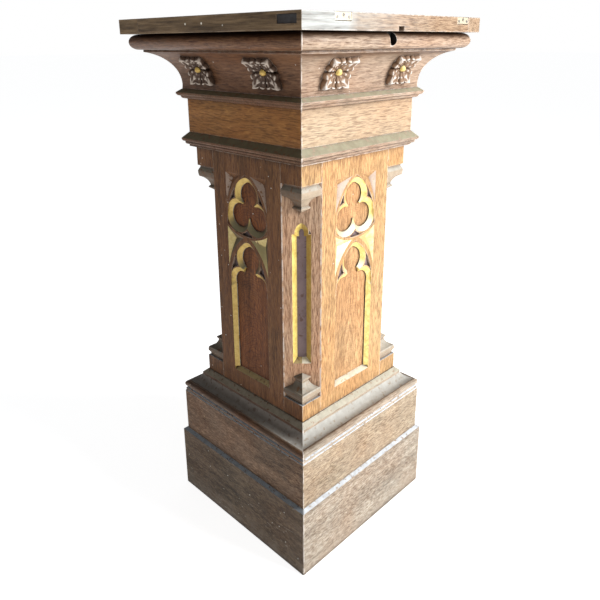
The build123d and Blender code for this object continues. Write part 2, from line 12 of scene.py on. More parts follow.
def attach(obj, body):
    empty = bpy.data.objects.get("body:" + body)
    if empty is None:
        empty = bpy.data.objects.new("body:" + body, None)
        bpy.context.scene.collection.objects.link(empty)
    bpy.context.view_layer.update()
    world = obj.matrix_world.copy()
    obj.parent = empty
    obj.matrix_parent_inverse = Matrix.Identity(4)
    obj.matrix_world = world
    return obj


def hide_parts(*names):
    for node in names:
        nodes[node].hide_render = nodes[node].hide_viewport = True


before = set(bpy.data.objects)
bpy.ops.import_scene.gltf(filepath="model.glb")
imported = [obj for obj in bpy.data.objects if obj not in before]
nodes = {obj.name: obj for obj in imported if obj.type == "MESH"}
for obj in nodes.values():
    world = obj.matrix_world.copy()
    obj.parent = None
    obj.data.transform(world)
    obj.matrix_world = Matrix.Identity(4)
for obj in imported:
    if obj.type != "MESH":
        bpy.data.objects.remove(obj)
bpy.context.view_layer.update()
MM = 0.001
SIDES = ("front", "right", "back", "left")

# ---------------------------------------------------------------- camera, light and floor

# The camera stands off the near corner; distances are from the box's upright axis
CAMERA_HEIGHT = 1.0477
CAMERA_DISTANCE = 1.2491
CAMERA_ASIDE = 0.0019
CAMERA_AZIMUTH = radians(45.32)
CAMERA_PITCH = radians(18.23)
CAMERA_ROLL = radians(-0.32)
CAMERA_SHIFT = -0.10
SENSOR = 36.0
FOCAL = SENSOR
LIT_POINT = (0, 0, 0.6)
WINDOW = {"place": (1.3, -3.0, 1.7), "size": 1.6, "power": 150, "colour": (0.99, 0.99, 1.0)}
FILL = {"place": (-2.6, -1.6, 1.3), "size": 2.0, "power": 3, "colour": (1.0, 0.97, 0.94)}
SKY = 0.16
SKY_COLOUR = (0.93, 0.96, 1.0, 1)
FLOOR_REACH = 60.0
FLOOR_GLOW = 0.85


def add_camera():
    """Stands off the near corner, at the height of the lid, looking slightly down."""
    ahead = Vector((sin(CAMERA_AZIMUTH), cos(CAMERA_AZIMUTH), 0))
    right = Vector((cos(CAMERA_AZIMUTH), -sin(CAMERA_AZIMUTH), 0))
    view = ahead * cos(CAMERA_PITCH) - Vector((0, 0, sin(CAMERA_PITCH)))
    down = -ahead * sin(CAMERA_PITCH) - Vector((0, 0, cos(CAMERA_PITCH)))
    axis_x = right * cos(CAMERA_ROLL) - down * sin(CAMERA_ROLL)
    axis_y = -(right * sin(CAMERA_ROLL) + down * cos(CAMERA_ROLL))
    data = bpy.data.cameras.new("camera")
    data.sensor_width = SENSOR
    data.lens = FOCAL
    data.shift_y = CAMERA_SHIFT
    data.clip_start = 0.02
    camera = bpy.data.objects.new("camera", data)
    turn = Matrix((axis_x, axis_y, -view)).transposed().to_4x4()
    place = -ahead * CAMERA_DISTANCE - right * CAMERA_ASIDE + Vector((0, 0, CAMERA_HEIGHT))
    camera.matrix_world = Matrix.Translation(place) @ turn
    bpy.context.scene.collection.objects.link(camera)
    bpy.context.scene.camera = camera


def area_light(name, place, size, power, colour):
    data = bpy.data.lights.new(name, "AREA")
    data.shape = "DISK"
    data.size = size
    data.energy = power
    data.color = colour
    lamp = bpy.data.objects.new(name, data)
    lamp.location = place
    lamp.rotation_euler = (Vector(LIT_POINT) - Vector(place)).to_track_quat("-Z", "Y").to_euler()
    bpy.context.scene.collection.objects.link(lamp)


def add_world():
    """A dim even sky that shows as plain white behind the object."""
    world = bpy.data.worlds.new("studio")
    world.use_nodes = True
    tree = world.node_tree
    tree.nodes.clear()
    out = tree.nodes.new("ShaderNodeOutputWorld")
    path = tree.nodes.new("ShaderNodeLightPath")
    mix = tree.nodes.new("ShaderNodeMixShader")
    dim = tree.nodes.new("ShaderNodeBackground")
    bright = tree.nodes.new("ShaderNodeBackground")
    dim.inputs["Color"].default_value = SKY_COLOUR
    dim.inputs["Strength"].default_value = SKY
    bright.inputs["Color"].default_value = (1, 1, 1, 1)
    bright.inputs["Strength"].default_value = 1.0
    tree.links.new(path.outputs["Is Camera Ray"], mix.inputs[0])
    tree.links.new(dim.outputs[0], mix.inputs[1])
    tree.links.new(bright.outputs[0], mix.inputs[2])
    tree.links.new(mix.outputs[0], out.inputs["Surface"])
    bpy.context.scene.world = world


def add_studio():
    bpy.context.scene.view_settings.view_transform = "Standard"
    add_world()
    area_light("window", **WINDOW)
    area_light("fill", **FILL)


def add_floor():
    mesh = bpy.data.meshes.new("floor")
    corners = ((-1, -1), (1, -1), (1, 1), (-1, 1))
    mesh.from_pydata([(x * FLOOR_REACH, y * FLOOR_REACH, 0) for x, y in corners], [], [(0, 1, 2, 3)])
    floor = bpy.data.objects.new("floor", mesh)
    bpy.context.scene.collection.objects.link(floor)
    graph = Graph("pale_floor")
    speckle = graph.noise(graph.object_coords(), 9.0, detail=3)
    colour = graph.ramp(speckle, ((0.3, (0.90, 0.90, 0.89)), (0.7, (0.94, 0.94, 0.93))))
    shader = graph.finish(colour, roughness=0.85)
    shader.inputs["Emission Color"].default_value = (1, 1, 1, 1)
    shader.inputs["Emission Strength"].default_value = FLOOR_GLOW
    mesh.materials.append(graph.material)


# ---------------------------------------------------------------- node graphs

class Graph:
    """A material's node tree, built by calls that read like a formula."""

    def __init__(self, name):
        self.material = bpy.data.materials.new(name)
        self.material.use_nodes = True
        self.tree = self.material.node_tree
        self.tree.nodes.clear()

    def add(self, kind, inputs=(), **settings):
        node = self.tree.nodes.new("ShaderNode" + kind)
        for key, value in settings.items():
            setattr(node, key, value)
        for key, value in dict(inputs).items():
            self.feed(node.inputs[key], value)
        return node

    def feed(self, socket, value):
        if isinstance(value, bpy.types.NodeSocket):
            self.tree.links.new(value, socket)
        elif isinstance(value, (tuple, list)) and len(value) == 3 and socket.type == "RGBA":
            socket.default_value = (*value, 1)
        else:
            socket.default_value = value

    def object_coords(self):
        return self.add("TexCoord").outputs["Object"]

    def object_normal(self):
        return self.add("TexCoord").outputs["Normal"]

    def math(self, operation, a, b=0.0):
        return self.add("Math", {0: a, 1: b}, operation=operation).outputs[0]

    def vector(self, operation, a, b=(0, 0, 0)):
        return self.add("VectorMath", {0: a, 1: b}, operation=operation).outputs[0]

    def dot(self, a, b):
        return self.add("VectorMath", {0: a, 1: b}, operation="DOT_PRODUCT").outputs["Value"]

    def split(self, vector):
        return self.add("SeparateXYZ", {0: vector}).outputs

    def noise(self, coords, scale, detail=2.0, roughness=0.5, distortion=0.0):
        node = self.add("TexNoise", {"Vector": coords, "Scale": scale, "Detail": detail,
                                     "Roughness": roughness, "Distortion": distortion})
        return node.outputs["Fac"]

    def range(self, value, low, high, to_low=0.0, to_high=1.0, smooth=False):
        node = self.add("MapRange", {0: value, 1: low, 2: high, 3: to_low, 4: to_high},
                        interpolation_type="SMOOTHSTEP" if smooth else "LINEAR")
        return node.outputs[0]

    def ramp(self, value, stops):
        node = self.add("ValToRGB", {0: value})
        elements = node.color_ramp.elements
        for element, (place, colour) in zip(elements, stops[:2]):
            element.position = place
            element.color = (*colour, 1)
        for place, colour in stops[2:]:
            elements.new(place).color = (*colour, 1)
        return node.outputs[0]

    def mix(self, fac, a, b, blend="MIX"):
        node = self.add("Mix", data_type="RGBA", blend_type=blend, clamp_factor=True)
        for index, value in ((0, fac), (6, a), (7, b)):
            self.feed(node.inputs[index], value)
        return node.outputs[2]

    def blend(self, fac, a, b):
        node = self.add("Mix", {0: fac, 2: a, 3: b}, data_type="FLOAT")
        return node.outputs[0]

    def occlusion(self, distance, inside=False):
        node = self.add("AmbientOcclusion", {"Distance": distance}, inside=inside, samples=6)
        return node.outputs["AO"]

    def bump(self, height, strength, distance):
        inputs = {"Strength": strength, "Distance": distance, "Height": height}
        return self.add("Bump", inputs).outputs[0]

    def finish(self, colour, roughness=0.5, normal=None, metallic=0.0, specular=0.5):
        shader = self.add("BsdfPrincipled", {"Base Color": colour, "Roughness": roughness})
        shader.inputs["Specular IOR Level"].default_value = specular
        shader.inputs["Metallic"].default_value = metallic
        if normal is not None:
            self.feed(shader.inputs["Normal"], normal)
        out = self.add("OutputMaterial")
        self.tree.links.new(shader.outputs[0], out.inputs["Surface"])
        return shader


# ---------------------------------------------------------------- oak

# Noise scales, per metre, along and across the grain
GRAIN_ALONG = 9.0
GRAIN_ACROSS = 110.0
PORES_FINER = 5.0
FLECK_ALONG_FINER = 5.5
FLECK_ACROSS_FINER = 3.4
RAY_ALONG = 40.0
RAY_ACROSS = 150.0
ARCH_STEEPNESS = 5200.0
ARCHES_PER_METRE = 250.0
ARCH_WANDER = 26.0

# Tints that darken the wood, then pairs of colours for its shaded sides, painted shade, and its lit sides,
# painted light with some sun bleaching
PORE_TINT = (0.36, 0.30, 0.27)
FLECK_TINT = (0.56, 0.49, 0.43)
FIGURE_TINT = (0.42, 0.36, 0.32)
CREASE_SHADE_TINT = (0.20, 0.15, 0.12)
DUST = ((0.135, 0.110, 0.085), (0.40, 0.33, 0.25))
RUBBED_EDGE_HIGHLIGHT = ((0.34, 0.28, 0.22), (0.88, 0.82, 0.76))
LID_AGED_AND_SHADED = ((0.060, 0.036, 0.018), (0.230, 0.150, 0.078))
LID_WHITENED = ((0.20, 0.21, 0.20), (0.52, 0.55, 0.54))
SCUFFED = ((0.20, 0.165, 0.125), (0.36, 0.29, 0.22))
SPECK = (0.80, 0.74, 0.64)
HOLE_FILLER = (0.86, 0.80, 0.68)


def board_coords(graph):
    """Object coordinates shifted by a different amount on every board."""
    spread = graph.math("MULTIPLY", graph.add("ObjectInfo").outputs["Random"], 7.0)
    shift = graph.add("CombineXYZ", {0: spread, 1: spread, 2: spread}).outputs[0]
    return graph.vector("ADD", graph.object_coords(), shift)


def facing_light(graph):
    """1 on surfaces that face the window, falling to 0 on those that turn from it."""
    facing = graph.dot(graph.object_normal(), (0.35, -0.80, 0.15))
    return graph.range(facing, -0.30, 0.75, smooth=True)


def lit_and_bleached_side(graph):
    """1 on the front and right, which face the light: painted light with some sun bleaching; 0 on the left
    and back: painted shade; tops lie between.
    """
    place = graph.split(graph.object_coords())
    sided = graph.range(graph.math("SUBTRACT", place[0], place[1]), -0.0005, 0.0005)
    steep = graph.math("ABSOLUTE", graph.split(graph.object_normal())[2])
    flat = graph.range(steep, 0.90, 0.97)
    return graph.blend(flat, sided, facing_light(graph))


def scaled(colour, *factors):
    factors = factors * 3 if len(factors) == 1 else factors
    return tuple(min(1.0, channel * factor) for channel, factor in zip(colour, factors))


def edge_wear_and_highlight(graph, coords, reach=0.0022):
    """1 on arrises, broken up so that the rubbing looks uneven; it paints rubbed wear and painted
    highlights along the arrises.
    """
    edge = graph.range(graph.occlusion(reach, inside=True), 0.93, 0.55)
    return graph.math("MULTIPLY", edge, graph.range(graph.noise(coords, 90.0, detail=4), 0.38, 0.60))


def specks(graph, coords):
    """Small pale filled nail holes and knocks."""
    spots = graph.add("TexVoronoi", {"Vector": coords, "Scale": 46.0, "Randomness": 1.0})
    near = graph.range(spots.outputs["Distance"], 0.070, 0.045)
    few = graph.range(graph.split(spots.outputs["Color"])[0], 0.68, 0.69)
    return graph.math("MULTIPLY", near, few)


def crease_shade_and_dirt(graph, colour, distance=0.014, tint=CREASE_SHADE_TINT):
    """Darker in the inner corners: dirt gathered there, and painted shade."""
    shade_and_dirt = graph.range(graph.occlusion(distance), 0.95, 0.40)
    return graph.mix(shade_and_dirt, colour, tint, "MULTIPLY")


def timber(graph, grain, blotch, colour, contrast):
    """One wood colour spread over its grain, with redder patches."""
    dark = scaled(colour, 1 - contrast)
    light = scaled(colour, 1 + 0.6 * contrast)
    tone = graph.mix(graph.range(grain, 0.30, 0.85), dark, light)
    return graph.mix(graph.range(blotch, 0.35, 0.80), tone, scaled(colour, 1.05, 0.84, 0.70))


def flame_figure(graph, coords):
    """Growth rings cut on the slant: nested arches up the middle of the board."""
    x, y, z = graph.split(graph.object_coords())
    off_centre = graph.math("ADD", graph.math("MULTIPLY", x, x), graph.math("MULTIPLY", y, y))
    arch = graph.math("MULTIPLY", off_centre, ARCH_STEEPNESS)
    rise = graph.math("MULTIPLY", z, ARCHES_PER_METRE)
    wander = graph.math("MULTIPLY", graph.noise(coords, 14.0, detail=3), ARCH_WANDER)
    phase = graph.math("ADD", graph.math("ADD", arch, rise), wander)
    return graph.range(graph.math("PINGPONG", phase, 1.0), 0.55, 1.0)


def along_grain(graph, coords, axis, along, across):
    """Coordinates for noise that is drawn out along a board's grain."""
    return graph.vector("MULTIPLY", coords, tuple(along if key == axis else across for key in "xyz"))


def growth(graph, coords, axis, along):
    """Fine streaks, and the same streaks crossed with wandering annual rings."""
    stretched = along_grain(graph, coords, axis, along, GRAIN_ACROSS)
    wander = graph.noise(stretched, 0.12, detail=3, distortion=0.6)
    rings = graph.math("PINGPONG", graph.math("MULTIPLY", wander, 9.0), 1.0)
    streak = graph.noise(stretched, 1.0, detail=5, roughness=0.62)
    grain = graph.math("ADD", graph.math("MULTIPLY", rings, 0.40), graph.math("MULTIPLY", streak, 0.80))
    return streak, grain


def open_pores(graph, coords, axis, along):
    stretched = along_grain(graph, coords, axis, PORES_FINER * along, PORES_FINER * GRAIN_ACROSS)
    return graph.range(graph.noise(stretched, 1.0, detail=2), 0.50, 0.62)


def add_rays(graph, coords, axis, lit_and_bleached, colour, shaded, lit_bleached):
    """Short pale medullary rays."""
    stretched = along_grain(graph, coords, axis, RAY_ALONG, RAY_ACROSS)
    rays = graph.range(graph.noise(stretched, 1.0, detail=1, distortion=0.8), 0.60, 0.70)
    pale = graph.mix(lit_and_bleached, scaled(shaded, 1.9), scaled(lit_bleached, 1.3))
    return graph.mix(graph.math("MULTIPLY", rays, 0.30), colour, pale)


def add_flecks(graph, coords, axis, along, lit_and_bleached, colour, shaded, lit_bleached, fleck):
    """Coarse broken grain, darker and paler than the wood."""
    across = FLECK_ACROSS_FINER * GRAIN_ACROSS
    stretched = along_grain(graph, coords, axis, FLECK_ALONG_FINER * along, across)
    coarse = graph.noise(stretched, 1.0, detail=4, roughness=0.8)
    colour = graph.mix(graph.range(coarse, 0.53, 0.38, 0.0, fleck), colour, FLECK_TINT, "MULTIPLY")
    pale = graph.mix(lit_and_bleached, scaled(shaded, 2.1), scaled(lit_bleached, 1.5))
    return graph.mix(graph.range(coarse, 0.58, 0.72, 0.0, 0.45 * fleck), colour, pale)


def add_figure(graph, coords, lit_and_bleached, colour, figure):
    strength = graph.range(lit_and_bleached, 0.0, 1.0, figure, 0.35 * figure)
    shown = graph.math("MULTIPLY", flame_figure(graph, coords), strength)
    return graph.mix(shown, colour, FIGURE_TINT, "MULTIPLY")


def add_dust(graph, coords, lit_and_bleached, colour, dust):
    settled = graph.range(graph.noise(coords, 14.0, detail=6, roughness=0.7), 0.35, 0.70)
    return graph.mix(graph.math("MULTIPLY", settled, dust), colour, graph.mix(lit_and_bleached, *DUST))


def add_wear(graph, coords, lit_and_bleached, colour, edge_pale):
    """Dirt and painted shade in the corners, rubbed arrises with painted highlights, and filled nail
    holes.
    """
    colour = crease_shade_and_dirt(graph, colour)
    rubbed_edge_highlight = graph.math("MULTIPLY", edge_wear_and_highlight(graph, coords), edge_pale)
    colour = graph.mix(rubbed_edge_highlight, colour, graph.mix(lit_and_bleached, *RUBBED_EDGE_HIGHLIGHT))
    return graph.mix(graph.math("MULTIPLY", specks(graph, coords), 0.7), colour, SPECK)


def oak(name, axis, shaded, lit_bleached, dust=0.0, contrast=0.45, fleck=1.0, greyed=None,
        edge_pale=0.6, gloss=0.46, lit_side_rule=lit_and_bleached_side, figure=0.0, shorten=1.0):
    """Old oak whose grain runs along one axis, coloured for its shaded side, painted shade, and its lit
    side, painted light with some sun bleaching.
    """
    graph = Graph(name)
    coords = board_coords(graph)
    lit_and_bleached = lit_side_rule(graph)
    along = GRAIN_ALONG * shorten
    streak, grain = growth(graph, coords, axis, along)
    pores = open_pores(graph, coords, axis, along)
    blotch = graph.noise(coords, 6.0, detail=4, roughness=0.6)
    colour = graph.mix(lit_and_bleached, timber(graph, grain, blotch, shaded, contrast),
                       timber(graph, grain, blotch, lit_bleached, 0.6 * contrast))
    colour = add_rays(graph, coords, axis, lit_and_bleached, colour, shaded, lit_bleached)
    colour = graph.mix(graph.math("MULTIPLY", pores, 0.6), colour, PORE_TINT, "MULTIPLY")
    colour = add_flecks(graph, coords, axis, along, lit_and_bleached, colour, shaded, lit_bleached, fleck)
    if figure:
        colour = add_figure(graph, coords, lit_and_bleached, colour, figure)
    if greyed is not None:
        colour = greyed(graph, coords, lit_and_bleached, colour)
    if dust:
        colour = add_dust(graph, coords, lit_and_bleached, colour, dust)
    colour = add_wear(graph, coords, lit_and_bleached, colour, edge_pale)
    hills = graph.math("SUBTRACT", streak, graph.math("MULTIPLY", pores, 0.6))
    roughness = graph.range(grain, 0.2, 0.9, gloss + 0.16, gloss)
    graph.finish(colour, roughness, graph.bump(hills, 0.45, 0.0008), specular=0.22)
    return graph.material


LID_HALF = 0.25
LID_MIDDLE_HEIGHT = 1.0785
SCREW_HOLES_Y = (-0.0165, 0.0295)
SCREW_HOLE_R = 0.00175


def lid_weathering(graph, coords, lit_and_bleached, colour):
    """The lid's edge is grey with age and darker on the shaded sides, painted shade, nearly white by the
    near corner, with two filled screw holes.
    """
    place = graph.split(graph.object_coords())
    thread = graph.noise(graph.vector("MULTIPLY", coords, (9, 9, 170)), 1.0, detail=4, roughness=0.7)
    aged_and_shaded = graph.mix(graph.range(thread, 0.35, 0.65), *LID_AGED_AND_SHADED)
    white = graph.mix(graph.range(thread, 0.35, 0.60), *LID_WHITENED)
    fading = graph.range(place[0], 0.10, -0.10, 0.0, 0.45)
    reach = graph.math("ADD", fading, graph.range(place[0], -0.125, -0.150, 0.0, 0.5))
    near_corner = graph.math("MULTIPLY", reach, graph.range(lit_and_bleached, 0.5, 0.9))
    colour = graph.mix(graph.range(lit_and_bleached, 0.5, 0.1), colour, aged_and_shaded)
    colour = graph.mix(graph.math("MULTIPLY", near_corner, 0.9), colour, white)
    for y in SCREW_HOLES_Y:
        middle = (-LID_HALF, y, LID_MIDDLE_HEIGHT)
        hole = graph.add("VectorMath", {0: graph.object_coords(), 1: middle}, operation="DISTANCE")
        spot = graph.range(hole.outputs["Value"], 1.2 * SCREW_HOLE_R, 0.8 * SCREW_HOLE_R)
        colour = graph.mix(spot, colour, HOLE_FILLER)
    return colour


def foot_wear(graph, coords, lit_and_bleached, colour):
    """The plinth is scuffed, and damp has taken the polish off along the floor."""
    height = graph.split(graph.object_coords())[2]
    damp = graph.range(height, 0.050, 0.002)
    broken = graph.range(graph.noise(coords, 26.0, detail=6, roughness=0.7), 0.36, 0.62)
    bare = graph.math("MULTIPLY", graph.math("MULTIPLY", damp, broken), 0.7)
    colour = graph.mix(bare, colour, graph.mix(lit_and_bleached, *SCUFFED))
    scratch = graph.noise(graph.vector("MULTIPLY", coords, (30, 30, 160)), 1.0, detail=3, distortion=1.6)
    scratched = graph.math("MULTIPLY", graph.range(scratch, 0.66, 0.74), 0.45)
    return graph.mix(scratched, colour, scaled(SPECK, 0.6))


# ---------------------------------------------------------------- paint, gilding and metal

COAT_TINT = (0.25, 0.22, 0.18)
COAT_EDGE_HIGHLIGHT = ((0.34, 0.30, 0.25), (0.88, 0.84, 0.78))
LEAF_TINT = (0.78, 0.70, 0.56)
LEAF_TURNED_SHADE_AND_DIRT = ((0.36, 0.30, 0.22), (0.84, 0.76, 0.62))
LEAF_GROUND = (0.30, 0.20, 0.12)


def rubbed(name, coat, under, cover=0.80, tone=0.30, crease=0.008):
    """A thin old coat rubbed through to what is under it; each is a shaded and a lit colour."""
    graph = Graph(name)
    coords = board_coords(graph)
    lit_and_bleached = lit_and_bleached_side(graph)
    mottle = graph.noise(coords, 70.0, detail=5, roughness=0.65)
    worn = graph.range(graph.noise(coords, 120.0, detail=4), 0.66, 0.58)
    patchy = graph.math("MULTIPLY", graph.range(mottle, 0.62, 0.38), tone)
    paint = graph.mix(patchy, graph.mix(lit_and_bleached, *coat), COAT_TINT, "MULTIPLY")
    colour = graph.mix(graph.math("MULTIPLY", worn, cover), graph.mix(lit_and_bleached, *under), paint)
    colour = crease_shade_and_dirt(graph, colour, crease)
    rubbed_edge_highlight = graph.math("MULTIPLY", edge_wear_and_highlight(graph, coords, 0.0015), 0.6)
    colour = graph.mix(rubbed_edge_highlight, colour, graph.mix(lit_and_bleached, *COAT_EDGE_HIGHLIGHT))
    graph.finish(colour, 0.6, graph.bump(mottle, 0.25, 0.0004), specular=0.3)
    return graph.material


def leaf_gold(name, leaf, dusted):
    """Dull leaf on the splays, dirty where dust has settled, darker on facets turned from the light with
    dirt and painted shade; each is a shaded and a lit colour.
    """
    graph = Graph(name)
    coords = board_coords(graph)
    lit_and_bleached = lit_and_bleached_side(graph)
    mottle = graph.noise(coords, 95.0, detail=5, roughness=0.7)
    tarnish = graph.range(mottle, 0.60, 0.40)
    colour = graph.mix(tarnish, graph.mix(lit_and_bleached, *leaf), LEAF_TINT, "MULTIPLY")
    upward = graph.range(graph.split(graph.object_normal())[2], 0.10, 0.38)
    settled = graph.math("MULTIPLY", upward, graph.range(mottle, 0.25, 0.45, 0.7, 1.0))
    colour = graph.mix(settled, colour, graph.mix(lit_and_bleached, *dusted))
    # Facets turned from the light are darkened: dirt and painted shade
    diagonal = graph.math("ABSOLUTE", graph.dot(graph.object_normal(), (0.70, 0.70, 0)))
    turned = graph.range(diagonal, 0.54, 0.30)
    colour = graph.mix(turned, colour, graph.mix(lit_and_bleached, *LEAF_TURNED_SHADE_AND_DIRT), "MULTIPLY")
    rubbed_through = graph.range(graph.noise(coords, 160.0, detail=3), 0.68, 0.72)
    colour = graph.mix(graph.math("MULTIPLY", rubbed_through, 0.7), colour, LEAF_GROUND)
    roughness = graph.range(mottle, 0.3, 0.7, 0.38, 0.55)
    graph.finish(colour, roughness, graph.bump(mottle, 0.2, 0.0003), metallic=0.2)
    return graph.material


def metal(name, clean, tarnish, rough, metallic=0.9):
    graph = Graph(name)
    coords = board_coords(graph)
    cloud = graph.noise(coords, 55.0, detail=6, roughness=0.7)
    scratch = graph.noise(graph.vector("MULTIPLY", coords, (900, 60, 300)), 1.0, detail=2)
    colour = graph.mix(graph.range(cloud, 0.38, 0.66), clean, tarnish)
    colour = crease_shade_and_dirt(graph, colour, 0.003)
    polished = graph.math("MULTIPLY", edge_wear_and_highlight(graph, coords, 0.0008), 0.5)
    colour = graph.mix(polished, colour, scaled(clean, 1.5))
    roughness = graph.range(cloud, 0.3, 0.7, rough - 0.08, rough + 0.14)
    graph.finish(colour, roughness, graph.bump(scratch, 0.12, 0.0002), metallic)
    return graph.material


CARVED_BROWN = ((0.085, 0.048, 0.030), (0.26, 0.16, 0.095))
CARVED_LIME = ((0.50, 0.42, 0.35), (0.66, 0.60, 0.54))
CARVED_CREASE_SHADE = (0.30, 0.22, 0.17)


def carved_oak():
    """Limed carving: white in the high places and along the tool cuts, brown in the hollows."""
    graph = Graph("limed_carving")
    coords = board_coords(graph)
    lime = graph.add("Attribute", attribute_name="lime").outputs["Fac"]
    grit = graph.noise(coords, 420.0, detail=4, roughness=0.7)
    rubbed_lime = graph.range(graph.math("ADD", lime, graph.math("MULTIPLY", grit, 0.55)), 0.62, 1.05)
    lit_and_bleached = lit_and_bleached_side(graph)
    brown = graph.mix(lit_and_bleached, *CARVED_BROWN)
    white = graph.mix(lit_and_bleached, *CARVED_LIME)
    colour = crease_shade_and_dirt(graph, graph.mix(rubbed_lime, brown, white), 0.006, CARVED_CREASE_SHADE)
    graph.finish(colour, 0.6, graph.bump(grit, 0.3, 0.0004), specular=0.35)
    return graph.material


# ---------------------------------------------------------------- which surface has which finish

TURN = {"front": 0, "right": 90, "back": 180, "left": 270}

# Millimetres. Arches are (half the distance between centres, springing height); circles (x, z, radius)
SHAFT_HALF = 153.0
CANT_DISTANCE = (2 * SHAFT_HALF - 53.8) / 2 ** 0.5
TRACERY_HALF = 60.5
TRACERY_HEIGHTS = (350, 805)
UPPER_ARCH = (57.0, 704.0)
LOWER_ARCH = (57.0, 573.0)
ARCH_RADIUS = 122.0
BELLY = (0.0, 792.0, 117.0)
UPPER_SPANDREL_FOOT = 735
LOWER_SPANDREL_FOOT = 590
SILL_TOP = 370
SPLAY_DEPTH = 7.5
TRACERY_THICK = 10.0
PIT_DEPTH = 5.0
LANCET_HEIGHTS = (430, 730)
LANCET_HALF = 18.6
LANCET_DEPTH = 11.5
LANCET_EYES = (14.2, 706)
STOP_HEIGHTS = ((358, 411.6), (748, 804))
GROOVE_HEIGHTS = ((357, 363.2), (804.3, 805))
BASE_SLOPE_FOOT = 311
BASE_HOLLOW = (289.2, 306.2)
BASE_LEDGE_TOP = 273
SLOT_MIDDLE = -16
SLOT_HALF = 9.3
SLOT_DEPTHS = (-238.5, -223.9)
SLOT_FOOT = 1040

# Metres
WELD_REACH = 0.00001
SMALL_PIECE = 0.12
WORN_EDGE = 0.0009
SMALL_WORN_EDGE = 0.00025
SHARP_ANGLE = radians(32)


def within(value, limits):
    return limits[0] < value < limits[1]


def local(vector, side):
    """A point or direction turned so that its own side becomes the front."""
    return Matrix.Rotation(-radians(TURN[side]), 3, "Z") @ vector


def beyond(centre, arch):
    """True outside a pointed arch's outer edge."""
    return hypot(abs(centre.x) + arch[0], centre.z - arch[1]) > ARCH_RADIUS - 0.3


def tracery_finish(side, mesh, face):
    """Gilt splays, limed and gilt spandrels, dusty sills and dark pits; the rest is bare wood."""
    centre = local(face.center, side) / MM
    normal = local(face.normal, side)
    depths = [local(mesh.vertices[index].co, side).y / MM + SHAFT_HALF for index in face.vertices]
    shallow, deep = min(depths), max(depths)
    in_field = abs(centre.x) <= TRACERY_HALF and within(centre.z, TRACERY_HEIGHTS)
    if not in_field or deep < 0.1 or shallow > TRACERY_THICK - 0.1:
        return "wood"
    if -normal.y > 0.97:
        return "hollow" if abs(deep - PIT_DEPTH) < 0.5 else "wood"
    spandrel = spandrel_finish(centre, normal.x, side)
    return spandrel or reveal_finish(centre, face.normal.z, -normal.y, shallow, deep)


def spandrel_finish(centre, across, side):
    """The slopes outside the arches; None inside them."""
    # Facets turned from the light keep bare wood or a dark gilt: painted shade
    towards_light = across * (1 if side in ("left", "back") else -1) > 0.12
    if beyond(centre, UPPER_ARCH) and centre.z > UPPER_SPANDREL_FOOT:
        return "lime" if towards_light else "wood"
    outside_belly = hypot(centre.x - BELLY[0], centre.z - BELLY[1]) > BELLY[2]
    if beyond(centre, LOWER_ARCH) and centre.z > LOWER_SPANDREL_FOOT and outside_belly:
        return "pale_gilt" if towards_light else "worn_gilt"
    return None


def reveal_finish(centre, upward, outward, shallow, deep):
    """The slopes round the lights."""
    # The splays' rear edge is pale on the shaded sides and dark on the lit sides: a painted highlight and
    # a painted shadow
    if outward < 0.3 and shallow > SPLAY_DEPTH - 0.3:
        return "rear_edge"
    if outward < 0.3 and abs(deep - PIT_DEPTH) < 0.2:
        return "lime"
    if centre.z < SILL_TOP and upward > 0.3:
        return "sill"
    return "gilt" if deep > 1.2 else "wood"


def post_finish(side, mesh, face):
    """The cant, the gilt lancet in it and the moulded stops above and below."""
    centre = face.center / MM
    normal = face.normal
    depth = CANT_DISTANCE - (abs(centre.x) + abs(centre.y)) / 2 ** 0.5
    outward = (normal.x * (1 if centre.x > 0 else -1) + normal.y * (1 if centre.y > 0 else -1)) / 2 ** 0.5
    across = (abs(centre.x) - abs(centre.y)) / 2 ** 0.5
    if within(centre.z, LANCET_HEIGHTS) and abs(across) < LANCET_HALF and 0.2 < depth < LANCET_DEPTH:
        handed = across if centre.x * centre.y > 0 else -across
        return lancet_finish(centre.z, handed, depth, outward, normal.z)
    if outward > 0.97 and depth < 0.5:
        return "cant"
    # Flat faces in the grooves take the pale bluish painted highlight
    if any(within(centre.z, heights) for heights in GROOVE_HEIGHTS) and abs(normal.z) > 0.9:
        return "ledge"
    if any(within(centre.z, heights) for heights in STOP_HEIGHTS):
        return "slope" if normal.z > 0.25 else "stop"
    return "wood"


def lancet_finish(height, across, depth, outward, upward):
    # The eyes of the lancet head are painted black: painted shadow
    if abs(across) > LANCET_EYES[0] and height > LANCET_EYES[1]:
        return "black"
    if outward > 0.95 and depth > LANCET_DEPTH - 1:
        return "hollow"
    if upward > 0.3:
        return "sill"
    # The two splays take a lit and a shaded copy of one gilt: painted light and painted shade
    return "bright_gilt" if across > 0 else "dull_gilt"


def plinth_finish(side, mesh, face):
    # Upward faces take the pale bluish painted highlight
    return "ledge" if face.normal.z > 0.25 else "wood"


def ledge_finish(side, mesh, face):
    return "slope" if face.normal.z > 0.25 else "wood"


def base_finish(side, mesh, face):
    height = face.center.z / MM
    if height > BASE_SLOPE_FOOT and face.normal.z > 0.3:
        return "slope"
    if within(height, BASE_HOLLOW) and face.normal.z > 0.05:
        return "slate"
    # The low upward faces take the pale bluish painted highlight
    return "ledge" if height < BASE_LEDGE_TOP and face.normal.z > 0.3 else "wood"


def rail_finish(side, mesh, face):
    centre = face.center / MM
    inside_slot = abs(centre.x - SLOT_MIDDLE) < SLOT_HALF and within(centre.y, SLOT_DEPTHS)
    inside_slot = inside_slot and centre.z > SLOT_FOOT
    # The walls of the slot are painted black: painted shadow
    return "black" if inside_slot and abs(face.normal.y) < 0.95 else "wood"


